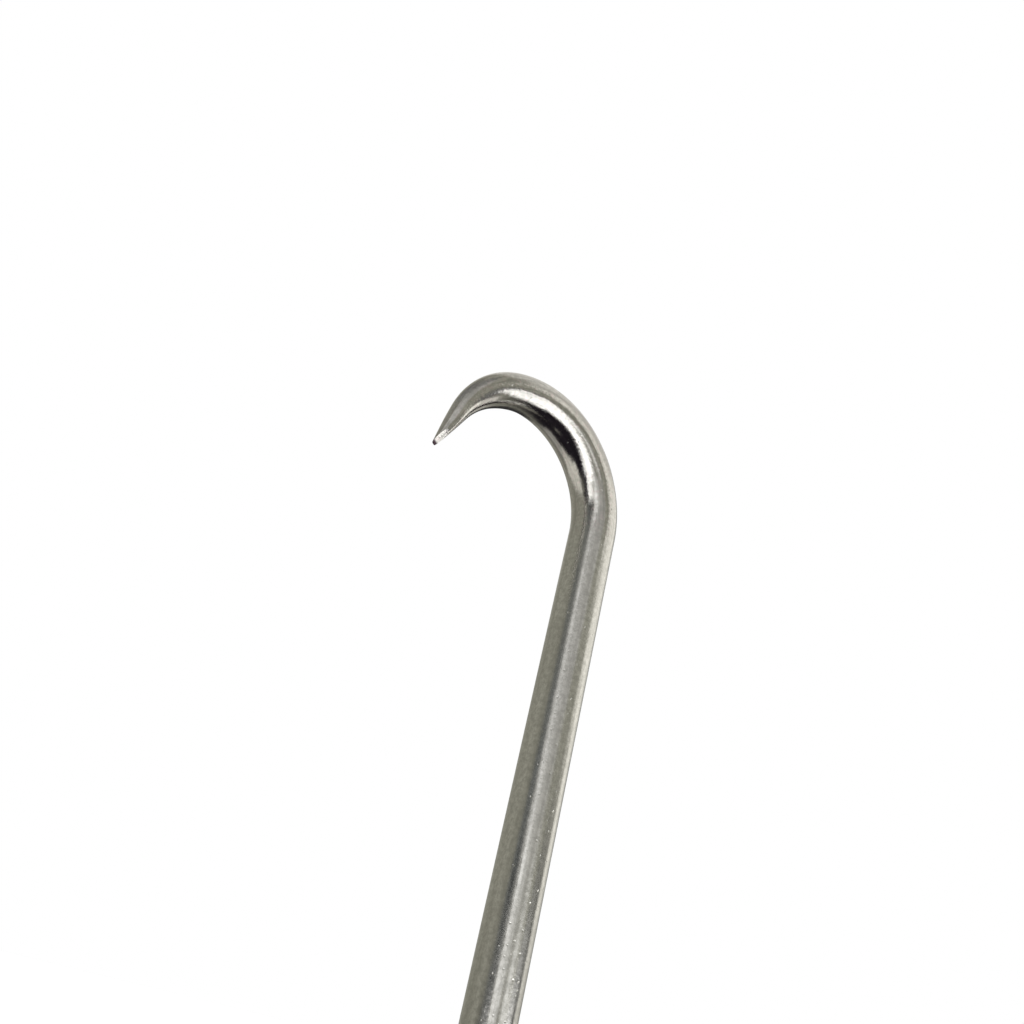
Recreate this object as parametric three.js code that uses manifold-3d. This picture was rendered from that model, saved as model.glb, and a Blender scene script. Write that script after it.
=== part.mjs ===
// A butcher's hand-held meat hook: a round stainless bar, bent and ground to a point at the top,
// passes down through a turned wooden T-grip and is held by a nut under the palm.
// Millimetres. +Z runs up the shank, the hook opens towards -X, and the grip's bar lies along X.
// The origin is the middle of the flat on the palm side of the grip, on which the hook stands.

import * as THREE from "three";
import { mergeVertices } from "three/addons/utils/BufferGeometryUtils.js";
import Module from "manifold-3d";

const wasm = await Module();
wasm.setup();

// --- Driving dimensions ---------------------------------------------------------------------

// The bar.
const ROD_DIAMETER = 6;
const SHANK_LENGTH = 85; // straight bar, from the shoulder to the start of the bend
const BEND_RADIUS = 12.7; // to the bar's centreline
const BEND_ANGLE = THREE.MathUtils.degToRad(161);
const POINT_LENGTH = 6.5; // straight run from the end of the bend to the tip
const TAPER_START = 6; // length of the bend that keeps the full diameter
const TAPER_POWER = 2.3; // above 1 the taper starts slowly and quickens towards the tip
const TIP_RADIUS = 0.22;
const SHOULDER_PROUD = 1.5; // how far the upset ring above the collar stands out of the bar
const SHOULDER_HEIGHT = 2.4;
const SHOULDER_EDGE = 0.4; // chamfer on the ring's underside
const THREAD_PITCH = 1;
const THREAD_DEPTH = 0.45;
const TANG_PROUD = 0.4; // how far the tang comes through the nut

// The grip.
const GRIP_LENGTH = 104;
const GRIP_MIDDLE_RADIUS = 15;
const GRIP_WAIST_RADIUS = 13.3;
const GRIP_WAIST_PLACE = 27; // from the middle, along the grip
const GRIP_END_RADIUS = 14.2;
const GRIP_END_ROUND = 8; // length of the rounded end
const PALM_FLAT_DEPTH = 2.5; // planed off the palm side, at the middle

// The collar between the shoulder and the grip.
const COLLAR_WALL = 1.6; // round the bar, in the neck and in the spigot below it
const COLLAR_FLANGE_REACH = 2.2; // beyond the neck
const COLLAR_FLANGE_THICKNESS = 1.8;
const COLLAR_NECK_HEIGHT = 4.2;
const COLLAR_SPIGOT_LENGTH = 5;
const COLLAR_EDGE = 0.4; // chamfer on the flange and the neck

// The fastening under the palm.
const PLUG_THICKNESS = 1.9;
const NUT_ACROSS_FLATS = 10;
const NUT_HEIGHT = 5;
const NUT_CHAMFER = 0.5;
const LOCK_WASHER_MARGIN = 0.4; // beyond the nut's flats
const LOCK_WASHER_THICKNESS = 1.5;
const LOCK_WASHER_SPLIT = 1.2;
const PALM_WASHER_MARGIN = 0.6; // beyond the nut's corners
const PALM_WASHER_THICKNESS = 1.2;

// The pin that keeps the bar from turning in the grip.
const PIN_DIAMETER = 2.5;
const PIN_INSET = 0.5; // each end sits this far below the wood
const PIN_CHAMFER = 0.3;

// Clearances.
const ROD_CLEARANCE = 0.2; // on the radius, where the bar passes through a hole
const SEAT_CLEARANCE = 0.2; // on the radius, where a ring or plug sits in the wood
const PIN_CLEARANCE = 0.15; // on the radius, where the pin crosses wood and bar
const RECESS_CLEARANCE = 0.8; // on the radius, round the palm washer
const FACE_GAP = 0.1; // between faces that bear on each other
const TANG_GAP = 0.3; // between the tang's end and the plug
const FLAT_RISE = 0.01; // keeps the rings of a flat step in the bar in order

// Facets.
const ROD_SIDES = 24;
const SHANK_STEPS = 8;
const BEND_STEPS = 34;
const RING_SIDES = 48;
const GRIP_SIDES = 48;
const GRIP_END_STEPS = 7;
const GRIP_BARREL_STEPS = 22;
const PIN_SIDES = 20;

// --- Places that follow from them -----------------------------------------------------------

const rodRadius = ROD_DIAMETER / 2;
const rodHoleRadius = rodRadius + ROD_CLEARANCE;
const shoulderRadius = rodRadius + SHOULDER_PROUD;
const neckRadius = rodHoleRadius + COLLAR_WALL;
const flangeRadius = neckRadius + COLLAR_FLANGE_REACH;
const nutCornerRadius = NUT_ACROSS_FLATS / 2 / Math.cos(Math.PI / 6);
const lockWasherRadius = NUT_ACROSS_FLATS / 2 + LOCK_WASHER_MARGIN;
const palmWasherRadius = nutCornerRadius + PALM_WASHER_MARGIN;
const recessRadius = palmWasherRadius + RECESS_CLEARANCE;

// Upwards from the palm flat.
const tangEnd = PLUG_THICKNESS + TANG_GAP;
const nutBottom = tangEnd + TANG_PROUD;
const lockWasherBottom = nutBottom + NUT_HEIGHT + FACE_GAP;
const palmWasherBottom = lockWasherBottom + LOCK_WASHER_THICKNESS + FACE_GAP;
const recessTop = palmWasherBottom + PALM_WASHER_THICKNESS + FACE_GAP;

// The collar's seat is just deep enough to carry the whole flange on the round of the grip.
const gripAxisHeight = GRIP_MIDDLE_RADIUS - PALM_FLAT_DEPTH;
const seatRadius = flangeRadius + SEAT_CLEARANCE;
const collarSeat = gripAxisHeight + Math.sqrt(GRIP_MIDDLE_RADIUS ** 2 - seatRadius ** 2);
const flangeBottom = collarSeat + FACE_GAP;
const flangeTop = flangeBottom + COLLAR_FLANGE_THICKNESS;
const collarTop = flangeTop + COLLAR_NECK_HEIGHT;
const spigotBottom = flangeBottom - COLLAR_SPIGOT_LENGTH;
const shoulderBottom = collarTop + FACE_GAP;
const shoulderTop = shoulderBottom + SHOULDER_HEIGHT;
const bendStart = shoulderTop + SHANK_LENGTH;

// The pin crosses the wood halfway between the recess and the collar's spigot.
const pinHeight = (recessTop + spigotBottom) / 2;
const gripHalfWidthAtPin = Math.sqrt(GRIP_MIDDLE_RADIUS ** 2 - (pinHeight - gripAxisHeight) ** 2);
const pinHalfLength = gripHalfWidthAtPin - PIN_INSET;

// --- Materials ------------------------------------------------------------------------------

const steel = (color, roughness) =>
  new THREE.MeshStandardMaterial({ color, roughness, metalness: 1 });
const wood = (color, roughness) =>
  new THREE.MeshStandardMaterial({ color, roughness, metalness: 0 });

const hookSteel = steel(0x8f8f8a, 0.3);
const collarSteel = steel(0xa3a29c, 0.25);
const fastenerSteel = steel(0x97968f, 0.4);
const gripWood = wood(0x6b3f22, 0.5);
const plugWood = wood(0x7a4a2a, 0.55);

// --- Solids ---------------------------------------------------------------------------------

// A closed geometry as a manifold-3d solid: vertices in one place are made one vertex first.
function toSolid(geometry) {
  const bare = geometry.clone();
  bare.deleteAttribute("normal");
  bare.deleteAttribute("uv");
  const merged = mergeVertices(bare, 1e-4);
  return new wasm.Manifold(
    new wasm.Mesh({
      numProp: 3,
      vertProperties: merged.getAttribute("position").array,
      triVerts: new Uint32Array(merged.index.array),
    }),
  );
}

function toGeometry(solid) {
  const mesh = solid.getMesh();
  const geometry = new THREE.BufferGeometry();
  geometry.setAttribute("position", new THREE.BufferAttribute(mesh.vertProperties, 3));
  geometry.setIndex(new THREE.BufferAttribute(mesh.triVerts, 1));
  return geometry;
}

// A geometry with others cut out of it.
function cutFrom(geometry, ...cutters) {
  const left = cutters.reduce((solid, cutter) => solid.subtract(toSolid(cutter)), toSolid(geometry));
  return toGeometry(left);
}

function namedMesh(name, geometry, material) {
  const mesh = new THREE.Mesh(geometry, material);
  mesh.name = name;
  return mesh;
}

// An upright cylinder from one height to another.
function postBetween(radius, bottom, top, sides = RING_SIDES) {
  const post = new THREE.CylinderGeometry(radius, radius, top - bottom, sides);
  return post.rotateX(Math.PI / 2).translate(0, 0, (top + bottom) / 2);
}

// An upright ring turned from a closed outline of [radius, height] points.
function turnedRing(outline) {
  const profile = [...outline, outline[0]].map(([radius, height]) => new THREE.Vector2(radius, height));
  return new THREE.LatheGeometry(profile, RING_SIDES).rotateX(Math.PI / 2);
}

// A flat washer that the bar passes through, standing on height 0.
function washerGeometry(radius, thickness) {
  return turnedRing([
    [rodHoleRadius, 0],
    [radius, 0],
    [radius, thickness],
    [rodHoleRadius, thickness],
  ]);
}

// --- The hook: one bar, from the threaded tang to the point ----------------------------------

// The bar's centreline lies in the XZ plane. Distance is measured along it from height 0.
function rodPlace(distance) {
  const alongBend = distance - bendStart;
  if (alongBend <= 0) {
    return { x: 0, z: distance, heading: 0 };
  }
  const bendLength = BEND_RADIUS * BEND_ANGLE;
  const heading = Math.min(alongBend / BEND_RADIUS, BEND_ANGLE);
  const beyond = Math.max(alongBend - bendLength, 0);
  return {
    x: -BEND_RADIUS * (1 - Math.cos(heading)) - beyond * Math.sin(heading),
    z: bendStart + BEND_RADIUS * Math.sin(heading) + beyond * Math.cos(heading),
    heading,
  };
}

// Evenly spaced values, both ends included.
function spread(from, to, steps) {
  return Array.from({ length: steps + 1 }, (_, i) => from + ((to - from) * i) / steps);
}

// The tang's thread is drawn as rings a pitch apart, since the nut and washers hide it.
function threadStations() {
  const halfPitch = THREAD_PITCH / 2;
  const halfTurns = 2 * Math.floor((recessTop - tangEnd) / THREAD_PITCH);
  const stations = spread(tangEnd, tangEnd + halfTurns * halfPitch, halfTurns).map((distance, i) => [
    distance,
    i % 2 === 0 ? rodRadius - THREAD_DEPTH : rodRadius,
  ]);
  stations.push([recessTop + halfPitch, rodRadius]);
  return stations;
}

// The upset ring has a flat, chamfered underside, and a rounded top that runs out into the shank.
function shoulderStations() {
  const widest = shoulderBottom + 2 * SHOULDER_EDGE;
  const crown = spread(0, Math.PI, 6).map((turn) => [
    widest + ((shoulderTop - widest) * turn) / Math.PI,
    rodRadius + (SHOULDER_PROUD * (1 + Math.cos(turn))) / 2,
  ]);
  return [
    [shoulderBottom, rodRadius],
    [shoulderBottom + FLAT_RISE, shoulderRadius - SHOULDER_EDGE],
    [shoulderBottom + SHOULDER_EDGE, shoulderRadius],
    ...crown,
  ];
}

// Round the bend the bar thins, slowly at first, down to the tip.
function bendStations() {
  const tipDistance = bendStart + BEND_RADIUS * BEND_ANGLE + POINT_LENGTH;
  const taperStart = bendStart + TAPER_START;
  const stations = spread(bendStart, tipDistance, BEND_STEPS).map((distance) => {
    const share = Math.max(distance - taperStart, 0) / (tipDistance - taperStart);
    return [distance, rodRadius - (rodRadius - TIP_RADIUS) * share ** TAPER_POWER];
  });
  stations.push([tipDistance + TIP_RADIUS / 2, TIP_RADIUS * 0.7]);
  return stations;
}

// The bar as a list of [distance, radius] stations, from the bottom of the tang to the tip.
function rodStations() {
  const shank = spread(shoulderTop, bendStart, SHANK_STEPS).map((distance) => [distance, rodRadius]);
  return [...threadStations(), ...shoulderStations(), ...shank.slice(1, -1), ...bendStations()];
}

// A cylinder whose rings are moved to the bar's stations, so that it takes their places and radii.
function rodGeometry() {
  const stations = rodStations();
  const rings = stations.length - 1;
  const geometry = new THREE.CylinderGeometry(1, 1, 1, ROD_SIDES, rings);
  const position = geometry.getAttribute("position");
  for (let i = 0; i < position.count; i += 1) {
    const ring = Math.round((position.getY(i) + 0.5) * rings);
    const [distance, radius] = stations[ring];
    const { x, z, heading } = rodPlace(distance);
    const inPlane = position.getX(i) * radius;
    const across = -position.getZ(i) * radius;
    position.setXYZ(i, x + inPlane * Math.cos(heading), across, z + inPlane * Math.sin(heading));
  }
  return geometry;
}

function pinHole() {
  const hole = new THREE.CylinderGeometry(
    PIN_DIAMETER / 2 + PIN_CLEARANCE,
    PIN_DIAMETER / 2 + PIN_CLEARANCE,
    4 * GRIP_MIDDLE_RADIUS,
    PIN_SIDES,
  );
  return hole.translate(0, 0, pinHeight);
}

function makeHookRod() {
  return namedMesh("hook_rod", cutFrom(rodGeometry(), pinHole()), hookSteel);
}

// --- The grip -------------------------------------------------------------------------------

// The barrel swells in the middle and at the ends. Each end is a quarter ellipse.
function gripBlank() {
  const barrelEnd = GRIP_LENGTH / 2 - GRIP_END_ROUND;
  const barrel = new THREE.SplineCurve([
    new THREE.Vector2(GRIP_END_RADIUS, -barrelEnd),
    new THREE.Vector2(GRIP_WAIST_RADIUS, -GRIP_WAIST_PLACE),
    new THREE.Vector2(GRIP_MIDDLE_RADIUS, 0),
    new THREE.Vector2(GRIP_WAIST_RADIUS, GRIP_WAIST_PLACE),
    new THREE.Vector2(GRIP_END_RADIUS, barrelEnd),
  ]);
  const topEnd = spread(Math.PI / 2, 0, GRIP_END_STEPS).map(
    (turn) =>
      new THREE.Vector2(GRIP_END_RADIUS * Math.sin(turn), barrelEnd + GRIP_END_ROUND * Math.cos(turn)),
  );
  const bottomEnd = topEnd.map((point) => new THREE.Vector2(point.x, -point.y)).reverse();
  const outline = [...bottomEnd, ...barrel.getPoints(GRIP_BARREL_STEPS).slice(1, -1), ...topEnd];
  const turned = new THREE.LatheGeometry(outline, GRIP_SIDES);
  return turned.rotateZ(-Math.PI / 2).translate(0, 0, gripAxisHeight);
}

function makeGrip() {
  const above = 3 * GRIP_MIDDLE_RADIUS;
  const below = -above;
  const belowFlat = new THREE.BoxGeometry(2 * GRIP_LENGTH, 2 * above, above);
  belowFlat.translate(0, 0, below / 2);
  const shape = cutFrom(
    gripBlank(),
    belowFlat,
    postBetween(rodHoleRadius, below, above),
    postBetween(recessRadius, below, recessTop),
    postBetween(neckRadius + SEAT_CLEARANCE, spigotBottom - FACE_GAP, above),
    postBetween(seatRadius, collarSeat, above),
    pinHole(),
  );
  return namedMesh("wooden_grip", shape, gripWood);
}

// --- The collar -----------------------------------------------------------------------------

// The spigot below the flange is as thick as the neck above it. The flange rises in a low cone.
function makeCollar() {
  const coneBottom = flangeTop - COLLAR_FLANGE_THICKNESS / 2;
  const ring = turnedRing([
    [rodHoleRadius, spigotBottom],
    [neckRadius, spigotBottom],
    [neckRadius, flangeBottom],
    [flangeRadius, flangeBottom],
    [flangeRadius, coneBottom - COLLAR_EDGE],
    [flangeRadius - COLLAR_EDGE, coneBottom],
    [neckRadius, flangeTop],
    [neckRadius, collarTop - COLLAR_EDGE],
    [neckRadius - COLLAR_EDGE, collarTop],
    [rodHoleRadius, collarTop],
  ]);
  return namedMesh("shank_collar", ring, collarSteel);
}

// --- The fastening --------------------------------------------------------------------------

function makePalmWasher() {
  const washer = namedMesh(
    "palm_washer",
    washerGeometry(palmWasherRadius, PALM_WASHER_THICKNESS),
    fastenerSteel,
  );
  washer.position.z = palmWasherBottom;
  return washer;
}

function makeLockWasher() {
  const reach = 2 * lockWasherRadius;
  const split = new THREE.BoxGeometry(LOCK_WASHER_SPLIT, reach, 4 * LOCK_WASHER_THICKNESS);
  split.translate(0, reach / 2, 0);
  const ring = cutFrom(washerGeometry(lockWasherRadius, LOCK_WASHER_THICKNESS), split);
  const washer = namedMesh("lock_washer", ring, fastenerSteel);
  washer.position.z = lockWasherBottom;
  return washer;
}

function makeNut() {
  const bevelledCorner = nutCornerRadius * (1 - NUT_CHAMFER / (NUT_ACROSS_FLATS / 2));
  const corners = spread(0, 2 * Math.PI, 6)
    .slice(1)
    .map((turn) => new THREE.Vector2(Math.cos(turn), Math.sin(turn)).multiplyScalar(bevelledCorner));
  const blank = new THREE.ExtrudeGeometry(new THREE.Shape(corners), {
    depth: NUT_HEIGHT - 2 * NUT_CHAMFER,
    bevelThickness: NUT_CHAMFER,
    bevelSize: NUT_CHAMFER,
    bevelSegments: 1,
  });
  blank.translate(0, 0, NUT_CHAMFER);
  const bored = cutFrom(blank, postBetween(rodHoleRadius, -NUT_HEIGHT, 2 * NUT_HEIGHT));
  const nut = namedMesh("palm_nut", bored, fastenerSteel);
  nut.position.z = nutBottom;
  return nut;
}

function makePlug() {
  const plug = postBetween(recessRadius - SEAT_CLEARANCE, 0, PLUG_THICKNESS);
  return namedMesh("palm_plug", plug, plugWood);
}

function makePin() {
  const radius = PIN_DIAMETER / 2;
  const outline = [
    [0, -pinHalfLength],
    [radius - PIN_CHAMFER, -pinHalfLength],
    [radius, -pinHalfLength + PIN_CHAMFER],
    [radius, pinHalfLength - PIN_CHAMFER],
    [radius - PIN_CHAMFER, pinHalfLength],
    [0, pinHalfLength],
  ].map(([across, along]) => new THREE.Vector2(across, along));
  const pin = namedMesh("cross_pin", new THREE.LatheGeometry(outline, PIN_SIDES), fastenerSteel);
  pin.position.z = pinHeight;
  return pin;
}

// --- The whole hook -------------------------------------------------------------------------

const meatHook = new THREE.Group();
meatHook.add(
  makeHookRod(),
  makeCollar(),
  makeGrip(),
  makePalmWasher(),
  makeLockWasher(),
  makeNut(),
  makePlug(),
  makePin(),
);

export default meatHook;
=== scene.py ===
# %% [markdown]
# # A butcher's hand-held meat hook
# A round stainless bar runs up from a turned wooden T-grip, bends over through most of a half circle and
# ends in a ground point. The design model gives every size and place; this lesson gives each piece its fine
# surface and finish. The imported model is loaded first, and its outer box is kept.

# %% Load the frame
import math
from collections import namedtuple

import bmesh
import bpy
import numpy as np
from mathutils import Matrix, Vector, noise


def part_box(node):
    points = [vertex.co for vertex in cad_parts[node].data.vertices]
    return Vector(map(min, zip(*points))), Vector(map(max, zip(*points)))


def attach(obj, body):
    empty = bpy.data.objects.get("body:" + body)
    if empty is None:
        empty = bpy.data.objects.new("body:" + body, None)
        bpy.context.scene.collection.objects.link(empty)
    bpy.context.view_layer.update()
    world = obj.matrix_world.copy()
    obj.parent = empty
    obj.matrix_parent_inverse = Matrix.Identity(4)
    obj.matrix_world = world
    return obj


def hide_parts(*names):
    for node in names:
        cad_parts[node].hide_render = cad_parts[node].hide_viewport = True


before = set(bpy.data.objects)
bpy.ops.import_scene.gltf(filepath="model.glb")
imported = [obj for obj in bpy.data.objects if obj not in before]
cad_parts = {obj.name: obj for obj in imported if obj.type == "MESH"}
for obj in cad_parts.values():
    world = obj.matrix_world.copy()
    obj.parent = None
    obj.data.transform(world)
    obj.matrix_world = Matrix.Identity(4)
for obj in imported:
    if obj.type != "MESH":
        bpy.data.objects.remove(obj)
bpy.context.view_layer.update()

MM = 0.001
print("nodes:", ", ".join(sorted(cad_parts)))

# %% [markdown]
# ## The sizes the pieces share
# A maker works from the bar outwards: the bar's diameter sets the bore of everything it passes through.
# Heights are read off the frame's own boxes, so a finished piece lands where the design has it.

# %% Shared sizes
BAR_RADIUS = 3 * MM
BAR_CLEARANCE = 0.2 * MM
BEND_RADIUS = 12.7 * MM
BEND_ANGLE = math.radians(161)
POINT_LENGTH = 6.5 * MM
SHANK_LENGTH = 85 * MM
SHOULDER_PROUD = 1.5 * MM
SHOULDER_HEIGHT = 2.4 * MM
FACE_GAP = 0.1 * MM

hole_radius = BAR_RADIUS + BAR_CLEARANCE  # of every hole that the bar passes through
tang_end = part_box("hook_rod")[0].z
nut_low, nut_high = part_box("palm_nut")
washer_low, washer_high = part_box("palm_washer")
collar_low, collar_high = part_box("shank_collar")
grip_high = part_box("wooden_grip")[1]
plug_low, plug_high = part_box("palm_plug")
pin_low, pin_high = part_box("cross_pin")
recess_top = washer_high.z + FACE_GAP
shoulder_bottom = collar_high.z + FACE_GAP
shoulder_top = shoulder_bottom + SHOULDER_HEIGHT
bend_start = shoulder_top + SHANK_LENGTH
tip_distance = bend_start + BEND_RADIUS * BEND_ANGLE + POINT_LENGTH
print(f"bend starts {bend_start / MM:.1f} mm up, tip is {tip_distance / MM:.1f} mm along the bar")

# %% [markdown]
# ## The camera
# The hook is seen from below and from its open side, close up, so that the shank runs out of the bottom of
# the view. The camera could be aimed with a constraint, but a plain matrix keeps its tilt exact: its place
# is given in bar diameters from the start of the bend, and its aim by the directions right, up and forward.

# %% Camera
BAR_DIAMETER = 2 * BAR_RADIUS
view_from = Vector((-12.88, -14.29, -10.03)) * BAR_DIAMETER + Vector((0, 0, bend_start))
view_forward = Vector((0.528, 0.7095, 0.468)).normalized()
near_right = Vector((0.707, -0.673, 0.221))
view_right = (near_right - near_right.project(view_forward)).normalized()
view_up = view_right.cross(view_forward)


def in_scene(name, data):
    """An object that shows the data."""
    made = bpy.data.objects.new(name, data)
    bpy.context.scene.collection.objects.link(made)
    return made


camera_data = bpy.data.cameras.new("camera")
camera_data.sensor_width = 36
camera_data.lens = 35.16
camera_data.clip_start = 0.005
camera_data.clip_end = 50
camera = in_scene("camera", camera_data)
turn = Matrix((view_right, view_up, -view_forward)).transposed()
camera.matrix_world = Matrix.Translation(view_from) @ turn.to_4x4()
bpy.context.scene.camera = camera
bpy.context.scene.view_settings.view_transform = "Standard"
print("camera is", round((view_from - Vector((0, 0, bend_start))).length / MM), "mm from the bend")

# %% [markdown]
# ## One way to make every skin
# Nearly every piece here is round in one direction: the bar, the collar, the grip, the washers. Each could
# be lathed, swept or carved, but they can all be seen as rings of points, one after the other, joined into
# a skin. So one helper joins rings. It caps the ends with a point, or runs the last ring back into the
# first for a piece with a hole. The shape is then only a matter of where the points go.

# %% Join rings into a mesh
SLIVER = 0.25e-6  # edges shorter than this are joined up


def outward(mesh, sharp_from=38):
    """Turns every face of a closed mesh to point out, and leaves real edges sharp."""
    shape = bmesh.new()
    shape.from_mesh(mesh)
    bmesh.ops.dissolve_degenerate(shape, dist=SLIVER, edges=shape.edges)
    bmesh.ops.recalc_face_normals(shape, faces=shape.faces)
    if shape.calc_volume(signed=True) < 0:
        bmesh.ops.reverse_faces(shape, faces=shape.faces)
    shape.to_mesh(mesh)
    shape.free()
    mesh.shade_smooth()
    mesh.set_sharp_from_angle(angle=math.radians(sharp_from))


def skin(name, rings, endless=False):
    """rings is an array of rings x points x 3, in metres. An endless skin has no ends to cap."""
    count, sides = rings.shape[:2]
    points = rings.reshape(-1, 3)
    ring = np.arange(count if endless else count - 1)[:, None]
    side = np.arange(sides)[None, :]
    here = ring * sides
    after = ((ring + 1) % count) * sides
    beside = (side + 1) % sides
    quads = np.stack([here + side, here + beside, after + beside, after + side], -1).reshape(-1, 4)
    faces = quads.tolist()
    if not endless:
        first_tip, last_tip = len(points), len(points) + 1
        points = np.vstack([points, rings[0].mean(0), rings[-1].mean(0)])
        last = (count - 1) * sides
        for i in range(sides):
            j = (i + 1) % sides
            faces.append((first_tip, j, i))
            faces.append((last_tip, last + i, last + j))
    mesh = bpy.data.meshes.new(name)
    mesh.from_pydata(points.tolist(), [], faces)
    outward(mesh)
    return in_scene(name, mesh)


print("skin makes a closed mesh from rings")

# %% [markdown]
# ## Turned shapes
# A lathe needs only an outline, so a turned piece is an outline of radius and height taken round the axis.
# No real edge is perfectly sharp: every corner of an outline is rounded off a little, and it is that small
# curve which catches the light along an edge.

# %% Turn an outline, and round its corners
def full_turn(steps):
    return np.linspace(0, 2 * math.pi, steps, endpoint=False)


def around(radius, angle, height):
    """Points round the Z axis."""
    return np.stack(np.broadcast_arrays(radius * np.cos(angle), radius * np.sin(angle), height), -1)


def turned(name, outline, sides=128, endless=True):
    """Turns an outline of (radius, height) points about the Z axis."""
    outline = np.array(outline)
    return skin(name, around(outline[:, :1], full_turn(sides), outline[:, 1:]), endless)


def eased(corners, radius, steps=3, closed=True):
    """An outline whose corners are rounded off. radius is the same for all of them."""
    corners = [Vector(c) for c in corners]
    outline = []
    for i, corner in enumerate(corners):
        if not closed and i in (0, len(corners) - 1):
            outline.append(tuple(corner))
            continue
        before = corners[i - 1] - corner
        after = corners[(i + 1) % len(corners)] - corner
        reach = min(radius, before.length / 2.2, after.length / 2.2)
        start = corner + before.normalized() * reach
        end = corner + after.normalized() * reach
        for share in np.linspace(0, 1, steps + 1):
            pulled = start.lerp(corner, share).lerp(corner.lerp(end, share), share)
            outline.append(tuple(pulled))
    return outline


print("turned and eased are ready")

# %% [markdown]
# ## The bar
# The real bar is cut from drawn stainless rod. One end is threaded, a ring is upset above the collar, the
# other end is heated, bent round a former and ground to a point. Modelled as a sweep along a curve it would
# keep one section, so it is built ring by ring instead: each ring has a distance along the bar, which gives
# its place on the straight or in the bend, and a radius, which gives the thread, the ring and the taper.

# %% Where the bar runs
TAPER_START = 6 * MM
TAPER_POWER = 2.3
TIP_RADIUS = 0.22 * MM


def bar_places(distance):
    """x, z and heading of the bar's centreline at distances along it."""
    past = distance - bend_start
    heading = np.clip(past / BEND_RADIUS, 0, BEND_ANGLE)
    beyond = np.maximum(past - BEND_RADIUS * BEND_ANGLE, 0)
    x = -BEND_RADIUS * (1 - np.cos(heading)) - beyond * np.sin(heading)
    straight = np.minimum(distance, bend_start)
    z = straight + BEND_RADIUS * np.sin(heading) + beyond * np.cos(heading)
    return x, z, heading


def taper(distance):
    """The bar's radius in the bend, down to the tip."""
    start = bend_start + TAPER_START
    share = np.clip((distance - start) / (tip_distance - start), 0, 1)
    return BAR_RADIUS - (BAR_RADIUS - TIP_RADIUS) * share**TAPER_POWER


middle = (tip_distance + bend_start) / 2
print(f"half way round the bend the bar is {2 * taper(middle) / MM:.2f} mm thick")

# %% [markdown]
# The rings could be evenly spaced, but that wastes points on the plain shank. They lie closest together on
# the thread, on the rounded shoulder and at the tip, where the radius changes fastest.

# %% Where its rings go
TANG_STEP = 0.1 * MM
SHANK_STEP = 0.4 * MM
BEND_RINGS = 260
TIP_RINGS = 5
TIP_BULGE = 0.6  # how far the rounded tip stands out, in tip radii

shoulder_outline = eased(
    [
        (shoulder_bottom, BAR_RADIUS),
        (shoulder_bottom + 0.01 * MM, BAR_RADIUS + SHOULDER_PROUD),
        (shoulder_bottom + 0.55 * SHOULDER_HEIGHT, BAR_RADIUS + SHOULDER_PROUD),
        (shoulder_bottom + 0.72 * SHOULDER_HEIGHT, BAR_RADIUS + 0.3 * SHOULDER_PROUD),
        (shoulder_top, BAR_RADIUS),
    ],
    radius=0.6 * MM,
    steps=6,
    closed=False,
)
tang = np.arange(tang_end, shoulder_bottom - TANG_STEP, TANG_STEP)
shank = np.arange(shoulder_top + SHANK_STEP, bend_start, SHANK_STEP)
bend = np.linspace(bend_start, tip_distance, BEND_RINGS)
tip_turn = np.linspace(0, math.pi / 2, TIP_RINGS + 2)[1:-1]
distances = np.concatenate([
    tang,
    [place for place, _ in shoulder_outline],
    shank,
    bend,
    tip_distance + TIP_BULGE * TIP_RADIUS * np.sin(tip_turn),
])
radii = np.concatenate([
    np.full(len(tang), BAR_RADIUS),
    [radius for _, radius in shoulder_outline],
    np.full(len(shank), BAR_RADIUS),
    taper(bend),
    TIP_RADIUS * np.cos(tip_turn),
])
print(len(distances), "rings along the bar")

# %% [markdown]
# The thread is a groove that winds once round the bar for every pitch, so a point's depth depends on both
# its distance and its angle. The same formula, a little larger, later cuts the nut, so the two mesh.

# %% Cut the thread
BAR_SIDES = 96
THREAD_PITCH = 1 * MM
THREAD_DEPTH = 0.45 * MM
THREAD_SLOPE = 1.25  # above 1, the thread gets a flat root and crest
THREAD_CREST = 0.12


def thread_depth(distance, angle):
    """How deep the thread's groove is, from 0 to THREAD_DEPTH."""
    turns = distance / THREAD_PITCH - angle / (2 * math.pi)
    rise = np.abs((turns % 1) * 2 - 1)
    return THREAD_DEPTH * np.clip(THREAD_SLOPE * rise - THREAD_CREST, 0, 1)


distance_grid, angle_grid = np.meshgrid(distances, full_turn(BAR_SIDES), indexing="ij")
radius_grid = np.repeat(radii[:, None], BAR_SIDES, 1)
threaded = distance_grid < recess_top
radius_grid = radius_grid - np.where(threaded, thread_depth(distance_grid, angle_grid), 0)
print("threaded up to", round(recess_top / MM, 1), "mm")

# %% [markdown]
# The bend and the point are finished by hand on a belt. That leaves them uneven by a few hundredths of a
# millimetre, enough to make a reflection waver, and leaves the start of the point a little oval. A bump
# texture could fake the first but not the second, and neither would show in the outline, so both are made
# by moving the points.

# %% Grind and build the bar
HAND_GROUND = 0.022 * MM
GROUND_FROM = 2 * MM  # past the start of the bend
GROUND_FADE = 8 * MM
PATCH_LENGTH = 2.6 * MM
PATCHES_ROUND = 1.3
GROUND_OVAL = 0.09  # how far from round the grinding leaves the start of the point
OVAL_TURN = math.radians(-40)
OVAL_FADE_IN = (23 * MM, 30 * MM)  # past the start of the bend
OVAL_FADE_OUT = (34 * MM, 38.5 * MM)


def eased_step(value, low, high):
    share = np.clip((value - low) / (high - low), 0, 1)
    return share * share * (3 - 2 * share)


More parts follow.
